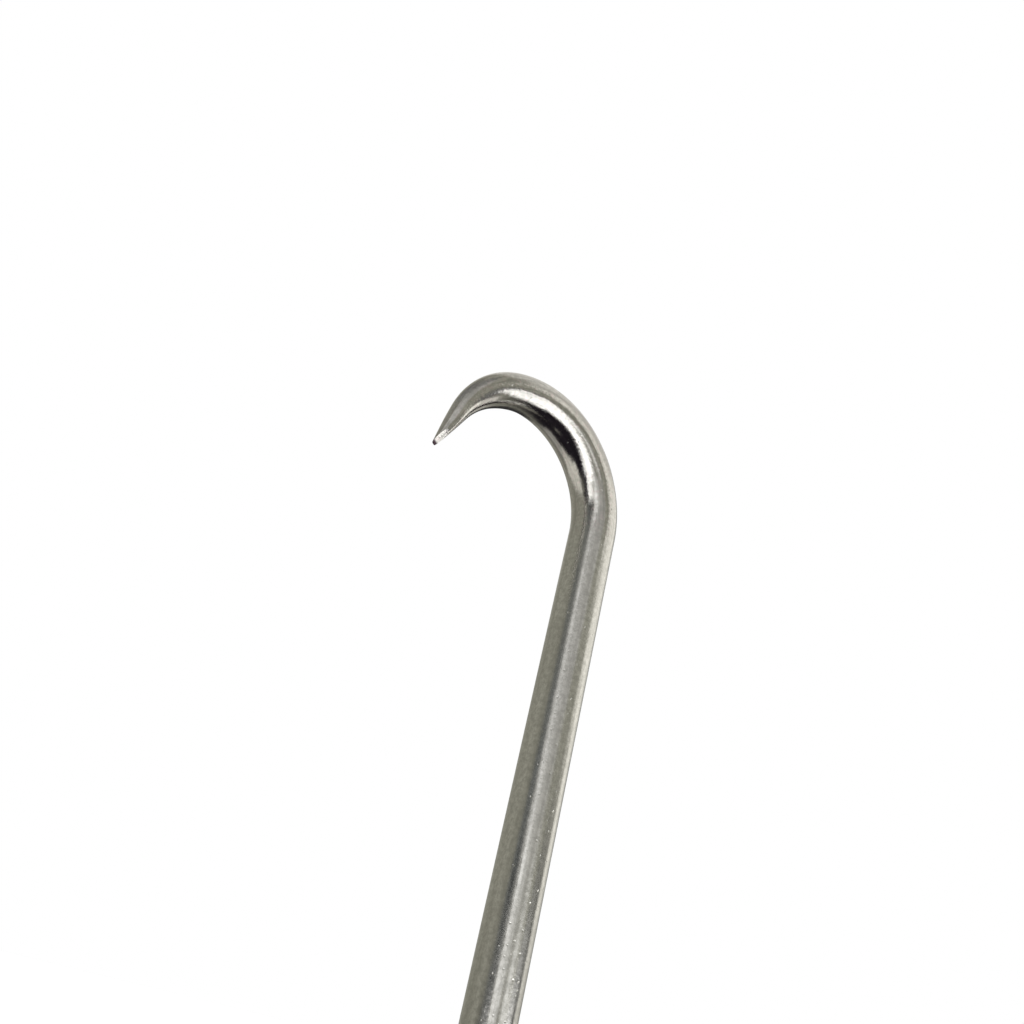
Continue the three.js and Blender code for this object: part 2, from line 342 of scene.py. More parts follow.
def place_on_bar(distance, radius, angle):
    """Points at an angle round the bar, 0 being on the outside of the bend's plane towards +X."""
    x, z, heading = bar_places(distance)
    across = radius * np.cos(angle)
    return np.stack([
        x + across * np.cos(heading),
        radius * np.sin(angle),
        z + across * np.sin(heading),
    ], -1)


past_start = distance_grid - bend_start
ground = np.clip((past_start - GROUND_FROM) / GROUND_FADE, 0, 1)
unevenness = np.array([
    noise.noise(Vector((math.cos(a) * PATCHES_ROUND, math.sin(a) * PATCHES_ROUND, s / PATCH_LENGTH)))
    for s, a in zip(distance_grid.ravel(), angle_grid.ravel())
]).reshape(distance_grid.shape)
slimming = np.minimum(radius_grid / BAR_RADIUS, 1)
oval = eased_step(past_start, *OVAL_FADE_IN) * (1 - eased_step(past_start, *OVAL_FADE_OUT))
radius_grid = radius_grid * (1 + GROUND_OVAL * oval * np.cos(2 * (angle_grid - OVAL_TURN)))
radius_grid = radius_grid - HAND_GROUND * ground * slimming * (0.7 + 0.5 * unevenness)
bar = skin("hook_bar", place_on_bar(distance_grid, radius_grid, angle_grid))
print("bar:", len(bar.data.vertices), "vertices")

# %% [markdown]
# ## Drilling and boring
# Holes are cut with cutters, as they are at the bench: a solid of the hole's shape is taken away from the
# piece. The cutter for a hole with an eased mouth is itself a turned shape that flares where it comes out.

# %% Cut one piece with others
def cut(piece, *cutters, sharp_from=38):
    """Takes the cutters away from the piece, and keeps the result as its mesh."""
    for cutter in cutters:
        step = piece.modifiers.new("cut", "BOOLEAN")
        step.operation = "DIFFERENCE"
        step.solver = "EXACT"
        step.object = cutter
    bpy.context.view_layer.update()
    view = bpy.context.evaluated_depsgraph_get()
    finished = bpy.data.meshes.new_from_object(piece.evaluated_get(view))
    piece.modifiers.clear()
    plain = piece.data
    piece.data = finished
    bpy.data.meshes.remove(plain)
    for cutter in cutters:
        bpy.data.meshes.remove(cutter.data)
    outward(piece.data, sharp_from)


def lay_along_y(piece, height):
    """Turns a piece made about Z to lie along Y, at a height."""
    piece.data.transform(Matrix.Translation((0, 0, height)) @ Matrix.Rotation(math.pi / 2, 4, "X"))
    return piece


print("cut and lay_along_y are ready")

# %% [markdown]
# The bar is drilled for the pin. Its point gets two small flats from the wheel: one long, on the side, which
# shows as a bright sliver, and one nearly square across the end, which leaves the point a little blunt.

# %% Drill the bar and grind its point
PIN_CLEARANCE = 0.15 * MM
GRINDER_SIZE = 6 * MM
FACET_BACK = 0.60 * MM
BLUNT_BACK = 0.32 * MM
POINT_RUN = Vector((-math.sin(BEND_ANGLE), 0, math.cos(BEND_ANGLE)))
FACET_FACING = Vector((0.08, -0.94, -0.335)).normalized()
BLUNT_FACING = (POINT_RUN + Vector((-0.25, 0.25, 0))).normalized()

pin_radius = (pin_high.x - pin_low.x) / 2
pin_height = (pin_high.z + pin_low.z) / 2
pin_hole_radius = pin_radius + PIN_CLEARANCE


def drill(reach, sides):
    """A cutter for the pin's hole, reaching as far on both sides of the axis."""
    outline = [(pin_hole_radius, -reach), (pin_hole_radius, reach)]
    return lay_along_y(turned("drill", outline, sides, endless=False), pin_height)


def grinder(short_of_tip, facing):
    """A block whose flat end crosses the middle of the bar just short of the tip."""
    x, z, _ = bar_places(np.array(tip_distance - short_of_tip))
    outline = [(GRINDER_SIZE, 0), (GRINDER_SIZE, GRINDER_SIZE)]
    block = turned("grinder", outline, sides=32, endless=False)
    aimed = facing.to_track_quat("Z", "Y").to_matrix().to_4x4()
    block.data.transform(Matrix.Translation((float(x), 0, float(z))) @ aimed)
    return block


facet = grinder(FACET_BACK, FACET_FACING)
blunt = grinder(BLUNT_BACK, BLUNT_FACING)
cut(bar, drill(2 * BAR_RADIUS, sides=48), facet, blunt, sharp_from=16)
print("bar drilled and ground:", len(bar.data.vertices), "vertices")

# %% [markdown]
# ## Coordinates that follow the bar
# Drawn steel has fine lines along its length, and on the real hook they follow the bend, because the bar
# was drawn before it was bent. A texture fixed to the room would cut straight across the bend. So every
# point also carries its place on the bar as it was before bending, in millimetres, and the steel's material
# reads that. It is worked out from the finished mesh, so the drilled hole has it too.

# %% Unbend every point
def unbent(points):
    """Where each point of the bar was before it was bent: x and y across the bar, z along it."""
    x, y, z = points.T
    centre_x = -BEND_RADIUS
    out = np.hypot(x - centre_x, z - bend_start)
    heading = np.arctan2(z - bend_start, x - centre_x)
    heading = np.where(heading < -math.pi / 2, heading + 2 * math.pi, heading)
    end_x, end_z, _ = bar_places(np.array(bend_start + BEND_RADIUS * BEND_ANGLE))
    run = Vector((-math.sin(BEND_ANGLE), math.cos(BEND_ANGLE)))
    side = Vector((math.cos(BEND_ANGLE), math.sin(BEND_ANGLE)))
    along = (x - end_x) * run.x + (z - end_z) * run.y
    beside = (x - end_x) * side.x + (z - end_z) * side.y
    on_shank = (z <= bend_start) & (x > centre_x)
    on_point = ~on_shank & (heading > BEND_ANGLE)
    across = np.where(on_shank, x, np.where(on_point, beside, out - BEND_RADIUS))
    length = np.where(on_shank, z, bend_start + BEND_RADIUS * np.clip(heading, 0, BEND_ANGLE))
    length = np.where(on_point, bend_start + BEND_RADIUS * BEND_ANGLE + along, length)
    return np.stack([across, y, length], -1)


corner_points = np.zeros(len(bar.data.vertices) * 3)
bar.data.vertices.foreach_get("co", corner_points)
before_bending = unbent(corner_points.reshape(-1, 3)) / MM
attribute = bar.data.attributes.new("before_bending", "FLOAT_VECTOR", "POINT")
attribute.data.foreach_set("vector", before_bending.ravel())
print("bar runs from", before_bending[:, 2].min().round(1), "to", before_bending[:, 2].max().round(1), "mm")

# %% [markdown]
# ## The collar
# A turned stainless ferrule: the shoulder on the bar presses on its top, its flange presses on the wood, and
# a spigot below the flange keeps it central. Two fine grooves are turned in the neck. It is lathed, like the
# real one, and every edge is broken by a small radius, which is what catches the light.

# %% Turn the collar
COLLAR_WALL = 1.6 * MM
FLANGE_THICKNESS = 1.8 * MM
SPIGOT_LENGTH = 5 * MM
GROOVE = 0.16 * MM
GROOVES_AT = (1.5 * MM, 2.3 * MM)  # above the flange
COLLAR_EDGE = 0.22 * MM

neck_radius = hole_radius + COLLAR_WALL
flange_radius = (collar_high.x - collar_low.x) / 2
flange_bottom = collar_low.z + SPIGOT_LENGTH
flange_top = flange_bottom + FLANGE_THICKNESS
collar_outline = [
    (hole_radius, collar_low.z),
    (neck_radius, collar_low.z),
    (neck_radius, flange_bottom),
    (flange_radius, flange_bottom),
    (flange_radius, flange_top - 0.5 * FLANGE_THICKNESS),
    (neck_radius + 0.35 * MM, flange_top - 0.05 * MM),
    (neck_radius, flange_top + 0.3 * MM),
]
for above_flange in GROOVES_AT:
    groove_height = flange_top + above_flange
    collar_outline += [
        (neck_radius, groove_height - GROOVE),
        (neck_radius - GROOVE, groove_height),
        (neck_radius, groove_height + GROOVE),
    ]
collar_outline += [(neck_radius, collar_high.z), (hole_radius, collar_high.z)]
collar = turned("collar", eased(collar_outline, COLLAR_EDGE, steps=4), sides=144)
print("collar:", len(collar.data.vertices), "vertices")

# %% [markdown]
# ## The grip
# Turned between centres from a hardwood blank, with a swell in the middle and at each end, then planed flat
# on the palm side. It could be lathed and cut with a boolean, but that leaves a knife-sharp rim round the
# flat. Here each point's distance from the axis is the smaller of the turned radius and the distance to the
# flat, blended smoothly where they are nearly equal, so the rim comes out eased as if by sandpaper.

# %% Turn and plane the grip
GRIP_MIDDLE = 15 * MM
GRIP_WAIST = 13.3 * MM
GRIP_WAIST_PLACE = 27 * MM
GRIP_END = 14.2 * MM
GRIP_END_ROUND = 8 * MM
GRIP_FLAT = 2.5 * MM  # how much the palm side is planed off
EASED_RIM = 0.35 * MM
GRIP_SIDES = 288
BARREL_RINGS = 220
GRIP_END_RINGS = 25

grip_half = grip_high.x
grip_axis_height = GRIP_MIDDLE - GRIP_FLAT
barrel_end = grip_half - GRIP_END_ROUND


def smooth_curve(places, values, at):
    """A smooth curve through a few values, level at each of them (they are all swells or waists)."""
    at = np.abs(at)
    i = np.clip(np.searchsorted(places, at) - 1, 0, len(places) - 2)
    low, high = np.array(places)[i], np.array(places)[i + 1]
    share = (at - low) / (high - low)
    ease = share * share * (3 - 2 * share)
    return np.array(values)[i] * (1 - ease) + np.array(values)[i + 1] * ease


barrel = np.linspace(-barrel_end, barrel_end, BARREL_RINGS)
end_turn = np.linspace(0, math.pi / 2, GRIP_END_RINGS + 1)[1:-1]
end_x = barrel_end + GRIP_END_ROUND * np.sin(end_turn)
end_radius = GRIP_END * np.cos(end_turn)
grip_x = np.concatenate([-end_x[::-1], barrel, end_x])
barrel_radius = smooth_curve(
    [0, GRIP_WAIST_PLACE, barrel_end], [GRIP_MIDDLE, GRIP_WAIST, GRIP_END], barrel
)
grip_radius = np.concatenate([end_radius[::-1], barrel_radius, end_radius])

round_angle = full_turn(GRIP_SIDES)
down = np.maximum(-np.sin(round_angle), 1e-3)[None, :]
to_flat = grip_axis_height / down
turned_radius = grip_radius[:, None]
apart = to_flat - turned_radius
blend = EASED_RIM * np.exp(-((apart / EASED_RIM) ** 2) / 4) / 2
section_radius = np.minimum(to_flat, turned_radius) - np.minimum(blend, EASED_RIM)
grip_rings = np.stack([
    np.repeat(grip_x[:, None], GRIP_SIDES, 1),
    section_radius * np.cos(round_angle),
    np.maximum(grip_axis_height + section_radius * np.sin(round_angle), 0),
], -1)
grip = skin("grip", grip_rings)
print("grip blank:", len(grip.data.vertices), "vertices")

# %% [markdown]
# The bore is stepped: a wide recess from below for the nut and washers, a close hole for the bar, and a seat
# from above for the collar. One turned cutter has all the steps, so they are sure to be on one axis, as
# they are when a real grip is bored in one setting.

# %% Bore the grip
SEAT_CLEARANCE = 0.2 * MM
MOUTH = 0.3 * MM  # how far a hole's mouth is eased
seat_height = flange_bottom - FACE_GAP
recess_radius = plug_high.x + SEAT_CLEARANCE
far_up = grip_high.z + 10 * MM
stepped_bore = turned("bore", [
    (recess_radius + MOUTH, -1 * MM),
    (recess_radius + MOUTH, 0),
    (recess_radius, MOUTH),
    (recess_radius, recess_top),
    (hole_radius, recess_top),
    (hole_radius, collar_low.z - FACE_GAP),
    (neck_radius + SEAT_CLEARANCE, collar_low.z - FACE_GAP),
    (neck_radius + SEAT_CLEARANCE, seat_height),
    (flange_radius + SEAT_CLEARANCE, seat_height),
    (flange_radius + SEAT_CLEARANCE, far_up),
], sides=144, endless=False)
pin_end = pin_high.y
cut(grip, stepped_bore, drill(2 * pin_end, sides=64))
print("grip bored:", len(grip.data.vertices), "vertices")

# %% [markdown]
# ## The nut, the washers, the pin and the plug
# Under the palm the tang takes a flat washer, a split spring washer and a hexagon nut, and a wooden plug
# hides them. The nut could be a hexagon with a hole cut in it, but it is built from rings too: its outside
# is the smaller of the hexagon and the cone that chamfers its corners, and its inside is the bar's own
# thread with a hair of clearance.

# %% Cut the nut
THREAD_CLEARANCE = 0.08 * MM
NUT_SIDES = 180
NUT_OUTSIDE_RINGS = 41
NUT_THREAD_RINGS = 51
CHAMFER_START = 0.96  # of half the width across flats
CHAMFER_SLOPE = math.tan(math.radians(60))
COUNTERSINK = 0.35 * MM
across_flats = (nut_high.y - nut_low.y) / 2
nut_rings = []
nut_angle = full_turn(NUT_SIDES)
hexagon = across_flats / np.cos(nut_angle % (math.pi / 3) - math.pi / 6)
for height in np.linspace(nut_low.z, nut_high.z, NUT_OUTSIDE_RINGS):
    from_face = min(height - nut_low.z, nut_high.z - height)
    cone = across_flats * CHAMFER_START + from_face * CHAMFER_SLOPE
    nut_rings.append((np.minimum(hexagon, cone), height))
for height in np.linspace(nut_high.z, nut_low.z, NUT_THREAD_RINGS):
    from_face = min(height - nut_low.z, nut_high.z - height)
    groove = BAR_RADIUS - thread_depth(height, nut_angle) + THREAD_CLEARANCE
    countersink = BAR_RADIUS + COUNTERSINK - from_face
    nut_rings.append((np.maximum(groove, countersink), height))
nut_rings = [around(radius, nut_angle, height) for radius, height in nut_rings]
nut = skin("nut", np.array(nut_rings), endless=True)
print("nut:", len(nut.data.vertices), "vertices")

# %% [markdown]
# The flat washer is stamped from sheet, which rolls its edges over a little. The spring washer is a length of
# square wire wound into an open ring, so it is a skin that stops short of a full turn and is capped.

# %% Stamp the washers
STAMPED_EDGE = 0.15 * MM
SPLIT = 1.2 * MM
SPRING_RINGS = 120


def ring_section(low, high):
    """The section of a washer, from the two corners of its box."""
    corners = [(hole_radius, low.z), (high.x, low.z), (high.x, high.z), (hole_radius, high.z)]
    return eased(corners, STAMPED_EDGE)


flat_washer = turned("flat_washer", ring_section(washer_low, washer_high))
section = np.array(ring_section(*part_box("lock_washer")))
half_split = math.asin(SPLIT / 2 / hole_radius)
sweep = np.linspace(math.pi / 2 + half_split, 2.5 * math.pi - half_split, SPRING_RINGS)[:, None]
spring_washer = skin("spring_washer", around(section[:, 0], sweep, section[:, 1]))
print("washers:", len(flat_washer.data.vertices), "and", len(spring_washer.data.vertices), "vertices")

# %% [markdown]
# A pin through wood and bar stops the bar turning. Its ends are domed by the hammer that sets it. The plug
# is a disc of the grip's own wood. Both are turned, and capped at the axis by a very small first ring.

# %% Turn the pin and the plug
AT_AXIS = 0.01 * MM
PIN_EDGE = 0.3 * MM
PLUG_EDGE = 0.25 * MM

pin_dome = [
    (AT_AXIS, 0),
    (0.5 * pin_radius, 0.06 * MM),
    (0.82 * pin_radius, 0.24 * MM),
    (pin_radius, 0.6 * MM),
]
pin_outline = [(radius, -pin_end + inset) for radius, inset in pin_dome]
pin_outline += [(radius, pin_end - inset) for radius, inset in reversed(pin_dome)]
pin = turned("pin", eased(pin_outline, PIN_EDGE, closed=False), sides=64, endless=False)
lay_along_y(pin, pin_height)

plug_radius = plug_high.x
plug_outline = [
    (AT_AXIS, plug_low.z),
    (plug_radius / 2, plug_low.z),
    (plug_radius, plug_low.z),
    (plug_radius, plug_high.z),
    (plug_radius / 2, plug_high.z),
    (AT_AXIS, plug_high.z),
]
plug = turned("plug", eased(plug_outline, PLUG_EDGE, closed=False), sides=144, endless=False)
print("pin and plug:", len(pin.data.vertices), "and", len(plug.data.vertices), "vertices")

# %% [markdown]
# ## Building materials in code
# A finish is a tree of nodes. It could be drawn in the shader editor, but code can name its parts and repeat
# them. A few helpers do the steps that every finish here needs.

# %% Node helpers
def plug_in(tree, socket, value):
    """A socket is wired, a plain value is set."""
    if isinstance(value, bpy.types.NodeSocket):
        tree.links.new(value, socket)
    else:
        socket.default_value = value


def add(tree, kind, _settings=None, **inputs):
    """Adds a node. A keyword names an input, with _ for a space, or i and its number."""
    made = tree.nodes.new(kind)
    for key, value in (_settings or {}).items():
        setattr(made, key, value)
    for key, value in inputs.items():
        numbered = key[0] == "i" and key[1:].isdigit()
        plug_in(tree, made.inputs[int(key[1:]) if numbered else key.replace("_", " ")], value)
    return made


def sums(tree, operation, first, second=0.0, third=0.0):
    return add(tree, "ShaderNodeMath", {"operation": operation}, i0=first, i1=second, i2=third).outputs[0]


def between(tree, value, low, high, to_low=0.0, to_high=1.0, smooth=True):
    """Maps a value from one range to another, without going past its ends."""
    made = add(
        tree, "ShaderNodeMapRange", {"interpolation_type": "SMOOTHSTEP" if smooth else "LINEAR"},
        Value=value, From_Min=low, From_Max=high, To_Min=to_low, To_Max=to_high,
    )
    return made.outputs["Result"]


def blended(tree, share, first, second):
    """Mixes two colours."""
    made = tree.nodes.new("ShaderNodeMix")
    made.data_type = "RGBA"
    made.clamp_factor = True
    for number, value in ((0, share), (6, first), (7, second)):
        plug_in(tree, made.inputs[number], value)
    return made.outputs[2]


print("add, sums, between and blended are ready")

# %% [markdown]
# Some steps come back in nearly every finish: noise, a place measured in millimetres, worn edges, and relief
# too fine for the mesh.

# %% Steps that finishes share
def cloudy(tree, place, scale=1.0, detail=2.0, roughness=0.5):
    """Soft noise, from 0 to 1."""
    made = add(tree, "ShaderNodeTexNoise", Vector=place, Scale=scale, Detail=detail, Roughness=roughness)
    return made.outputs[0]


def stretched(tree, vector, x, y, z):
    """A vector scaled along each axis."""
    return add(tree, "ShaderNodeVectorMath", {"operation": "MULTIPLY"}, i0=vector, i1=(x, y, z)).outputs[0]


def place_in_mm(tree):
    """Each point's place in the row, in millimetres."""
    return stretched(tree, add(tree, "ShaderNodeTexCoord").outputs["Object"], 1 / MM, 1 / MM, 1 / MM)


def rubbed_edges(tree, flat, sharp):
    """1 on edges that stand out, 0 elsewhere."""
    return between(tree, add(tree, "ShaderNodeNewGeometry").outputs["Pointiness"], flat, sharp)


def relief(tree, depth, height, over=None, strength=1.0):
    """A bump of a real depth, which may lie over another one."""
    made = add(tree, "ShaderNodeBump", Strength=strength, Distance=depth, Height=height)
    if over:
        tree.links.new(over, made.inputs["Normal"])
    return made.outputs[0]


print("cloudy, stretched, place_in_mm, rubbed_edges and relief are ready")

# %% [markdown]
# An effect that several finishes share is a node group, built once, and each finish places it with its own
# values. A finish is a material that starts out empty and ends with one shader.

# %% Groups and finishes
def new_group(name, inputs, outputs):
    """A shader node group with its sockets, and its input and output nodes."""
    group = bpy.data.node_groups.new(name, "ShaderNodeTree")
    for label, kind, value in inputs:
        socket = group.interface.new_socket(label, in_out="INPUT", socket_type=kind)
        if value is not None:
            socket.default_value = value
    for label, kind in outputs:
        group.interface.new_socket(label, in_out="OUTPUT", socket_type=kind)
    return group, group.nodes.new("NodeGroupInput"), group.nodes.new("NodeGroupOutput")


def place_group(tree, group, **inputs):
    made = tree.nodes.new("ShaderNodeGroup")
    made.node_tree = group
    for key, value in inputs.items():
        plug_in(tree, made.inputs[key.replace("_", " ")], value)
    return made


def new_finish(name):
    """A material with nothing in it but its output."""
    material = bpy.data.materials.new(name)
    material.use_nodes = True
    material.node_tree.nodes.clear()
    return material, material.node_tree


def finish_with(tree, shader):
    tree.links.new(shader.outputs[0], tree.nodes.new("ShaderNodeOutputMaterial").inputs["Surface"])


def finish_as_metal(tree, colour, roughness, surface):
    finish_with(tree, add(
        tree, "ShaderNodeBsdfPrincipled", Base_Color=colour, Metallic=1.0, Roughness=roughness, Normal=surface
    ))


FLOAT = "NodeSocketFloat"
VECTOR = "NodeSocketVector"
print("groups and finishes can be made")

# %% [markdown]
# ## Shared effects
# **Drawn lines** are what a die or a belt leaves: very long, very fine scratches. They could be drawn as a
# wave pattern, but that is too regular. Noise squeezed across the bar and stretched along it gives them.

# %% Drawn lines
lines_group, inside, outside = new_group(
    "drawn_lines",
    [("Place", VECTOR, None), ("Across", FLOAT, 7.0), ("Along", FLOAT, 0.12), ("Seed", FLOAT, 0.0)],
    [("Height", FLOAT), ("Streak", FLOAT)],
)
t = lines_group
across, lengthwise = inside.outputs["Across"], inside.outputs["Along"]
squeeze = add(t, "ShaderNodeCombineXYZ", X=across, Y=across, Z=lengthwise)
place = add(
    t, "ShaderNodeVectorMath", {"operation": "MULTIPLY"}, i0=inside.outputs["Place"], i1=squeeze.outputs[0]
)
fine = add(
    t, "ShaderNodeTexNoise", {"noise_dimensions": "4D"},
    Vector=place.outputs[0], W=inside.outputs["Seed"], Scale=1.0, Detail=3.0, Roughness=0.65,
)
broad_place = add(t, "ShaderNodeVectorMath", {"operation": "SCALE"}, i0=place.outputs[0], Scale=0.22)
broad = add(
    t, "ShaderNodeTexNoise", {"noise_dimensions": "4D"},
    Vector=broad_place.outputs[0], W=inside.outputs["Seed"], Scale=1.0, Detail=2.0, Roughness=0.5,
)
t.links.new(fine.outputs[0], outside.inputs["Height"])
t.links.new(between(t, broad.outputs[0], 0.35, 0.65), outside.inputs["Streak"])
print("drawn lines:", len(t.nodes), "nodes")

# %% [markdown]
# **Pits** are the specks that a rolled or drawn surface keeps, each one a tiny bowl that flashes when its
# wall faces a light. Cells with a random value each give them, and only some of the cells get one.

# %% Pits
pits_group, inside, outside = new_group(
    "pits",
    [("Place", VECTOR, None), ("Per Millimetre", FLOAT, 1.2), ("Share", FLOAT, 0.35), ("Width", FLOAT, 0.3)],
    [("Height", FLOAT), ("Mask", FLOAT)],
)
t = pits_group
cells = add(
    t, "ShaderNodeTexVoronoi", {"voronoi_dimensions": "3D", "feature": "F1"},
    Vector=inside.outputs["Place"], Scale=inside.outputs["Per Millimetre"], Randomness=1.0,
)
chance = add(t, "ShaderNodeSeparateColor", Color=cells.outputs["Color"])
chosen = sums(t, "LESS_THAN", chance.outputs[0], inside.outputs["Share"])
width = sums(t, "MULTIPLY", inside.outputs["Width"], sums(t, "ADD", 0.5, chance.outputs[1]))
bowl = between(t, sums(t, "DIVIDE", cells.outputs["Distance"], width), 0.0, 1.0, 1.0, 0.0)
mask = sums(t, "MULTIPLY", bowl, chosen)
t.links.new(mask, outside.inputs["Mask"])
t.links.new(sums(t, "SUBTRACT", 1.0, mask), outside.inputs["Height"])
print("pits:", len(t.nodes), "nodes")

# %% [markdown]
# **Smudges** are broad patches that differ a little in gloss and colour, from handling and wiping.

# %% Smudges
smudge_group, inside, outside = new_group(
    "smudges",
    [("Place", VECTOR, None), ("Per Millimetre", FLOAT, 0.25)],
    [("Amount", FLOAT)],
)
t = smudge_group
patches = add(
    t, "ShaderNodeTexNoise",
    Vector=inside.outputs["Place"], Scale=inside.outputs["Per Millimetre"],
    Detail=4.0, Roughness=0.6, Distortion=0.4,
)
t.links.new(between(t, patches.outputs[0], 0.35, 0.7), outside.inputs["Amount"])
print("groups:", [g.name for g in bpy.data.node_groups])

# %% [markdown]
# ## The bar's steel
# The shank is left as drawn: satin, with lines along it and specks. The bend is polished by hand, so it is
# far glossier, and its reflections have slightly ragged edges because the surface waves a little. The last
# millimetre of the point is dark, from heat in grinding and from use. One material does all three, because
# it is one bar: the distance along the bar decides how much of each there is.

# %% Where the bar is drawn, polished and burnt
BEND_AT = bend_start / MM
TIP_AT = tip_distance / MM

bar_steel, t = new_finish("bar_steel")
on_bar = add(t, "ShaderNodeAttribute", {"attribute_name": "before_bending"}).outputs["Vector"]
along = add(t, "ShaderNodeSeparateXYZ", Vector=on_bar).outputs["Z"]
polished = between(t, along, BEND_AT - 3.5, BEND_AT + 1.5)
burnt = between(t, along, TIP_AT - 0.85, TIP_AT - 0.55)

lines = place_group(t, lines_group, Place=on_bar, Across=5.5, Along=0.10, Seed=2.0)
rubbed = place_group(t, lines_group, Place=on_bar, Across=9.0, Along=0.5, Seed=5.0)
strokes = place_group(t, lines_group, Place=on_bar, Across=2.6, Along=0.07, Seed=11.0)
pitted = between(t, along, BEND_AT - 60.0, BEND_AT - 5.0, 0.60, 0.15)
pits = place_group(t, pits_group, Place=on_bar, Per_Millimetre=1.5, Share=pitted, Width=0.22)
smudge = place_group(t, smudge_group, Place=on_bar, Per_Millimetre=0.22)
mottle = cloudy(t, on_bar, scale=1.7, detail=4.0, roughness=0.7)
wander = cloudy(t, stretched(t, on_bar, 2.0, 2.0, 1.5), detail=4.0, roughness=0.65)
print("polished from", round(BEND_AT, 1), "mm, burnt at", round(TIP_AT, 1), "mm")

# %% [markdown]
# The drawn shank is duller than the polished bend, and the streaks and smudges vary both a little.

# %% How rough the bar is
SATIN = 0.16
POLISHED = 0.10


def streaky(roughness):
    """A roughness that varies with the drawn lines and the smudges."""
    streaked = sums(t, "MULTIPLY_ADD", lines.outputs["Streak"], 0.06, roughness)
    return sums(t, "MULTIPLY_ADD", smudge.outputs["Amount"], 0.05, streaked)


roughness = between(t, polished, 0.0, 1.0, streaky(SATIN), streaky(POLISHED), smooth=False)
roughness = sums(t, "MULTIPLY_ADD", pits.outputs["Mask"], -0.04, roughness)
print("roughness from", POLISHED, "in the bend to", SATIN, "on the shank")

# %% [markdown]
# Stainless steel is a slightly warm grey. Handling, rubbing and the belt's strokes each darken some of it,
# and the heat of bending leaves a faint tint. They are laid over each other in the order they happened.

# %% The colours of the bar
clean = (0.70, 0.69, 0.66, 1)
handled = (0.50, 0.49, 0.455, 1)
worn_grey = (0.38, 0.375, 0.35, 1)
heat_tint = (0.60, 0.50, 0.50, 1)
heat_dark = (0.045, 0.030, 0.036, 1)

stroked = sums(t, "MULTIPLY", between(t, strokes.outputs["Height"], 0.42, 0.66, 0.0, 0.75), polished)
tinted = sums(t, "MULTIPLY", polished, between(t, wander, 0.45, 0.75, 0.0, 0.5))
colour = clean
for share, shade in (
    (sums(t, "MULTIPLY", lines.outputs["Streak"], 0.75), handled),
    (sums(t, "MULTIPLY", smudge.outputs["Amount"], 0.35), handled),
    (between(t, rubbed.outputs["Height"], 0.5, 0.75, 0.0, 0.35), worn_grey),
    (between(t, mottle, 0.35, 0.65, 0.0, 0.60), worn_grey),
    (stroked, worn_grey),
    (tinted, heat_tint),
    (burnt, heat_dark),
):
    colour = blended(t, share, colour, shade)
print("the bar's colours are laid over each other")

# %% [markdown]
# The finest relief is only thousandths of a millimetre deep, far too fine for the mesh, so it is a bump. Its
# depths are real ones, and each layer lies over the one before.

# %% The bar's fine relief
waviness = sums(t, "MULTIPLY", wander, between(t, polished, 0.0, 1.0, 0.45, 1.0))
surface = None
for depth, height in (
    (0.006 * MM, lines.outputs["Height"]),
    (0.026 * MM, waviness),
    (0.006 * MM, mottle),
    (0.032 * MM, pits.outputs["Height"]),
):
    surface = relief(t, depth, height, over=surface)
finish_as_metal(t, colour, roughness, surface)
bar.data.materials.append(bar_steel)
print("bar steel:", len(t.nodes), "nodes")

# %% [markdown]
# ## Turned and plain steel
# A lathe tool leaves rings round the collar, so its lines run round and not along. They depend only on the
# height and the distance from the axis, like the rings themselves. Edges are rubbed brighter than hollows,
# which the pointiness of the surface tells apart.

# %% Steel of the collar
TOOL_MARKS_PER_MM = 14.0

collar_steel, t = new_finish("turned_steel")
in_mm = place_in_mm(t)
parts = add(t, "ShaderNodeSeparateXYZ", Vector=in_mm)
squared = [sums(t, "POWER", parts.outputs[axis], 2.0) for axis in (0, 1)]
from_axis = sums(t, "SQRT", sums(t, "ADD", *squared))
ring_place = add(
    t, "ShaderNodeCombineXYZ",
    X=sums(t, "MULTIPLY", from_axis, TOOL_MARKS_PER_MM),
    Z=sums(t, "MULTIPLY", parts.outputs[2], TOOL_MARKS_PER_MM),
)
tool_marks = cloudy(t, ring_place.outputs[0])
smudge = place_group(t, smudge_group, Place=in_mm, Per_Millimetre=0.3)
pits = place_group(t, pits_group, Place=in_mm, Per_Millimetre=1.6, Share=0.15, Width=0.16)
worn = rubbed_edges(t, 0.51, 0.56)
roughness = sums(t, "MULTIPLY_ADD", smudge.outputs["Amount"], 0.10, 0.16)
roughness = sums(t, "MULTIPLY_ADD", worn, -0.06, roughness)
colour = blended(t, smudge.outputs["Amount"], (0.64, 0.63, 0.60, 1), (0.55, 0.54, 0.50, 1))
colour = blended(t, sums(t, "MULTIPLY", worn, 0.7), colour, (0.76, 0.75, 0.72, 1))
surface = relief(t, 0.0025 * MM, tool_marks)
surface = relief(t, 0.012 * MM, pits.outputs["Height"], over=surface)
finish_as_metal(t, colour, roughness, surface)
collar.data.materials.append(collar_steel)
print("turned steel:", len(t.nodes), "nodes")

# %% [markdown]
# The nut, the washers and the pin are cheap plain stainless: duller, and with no clear direction, since they
# are tumbled in a drum to take off their burrs. The same groups serve, with other values.

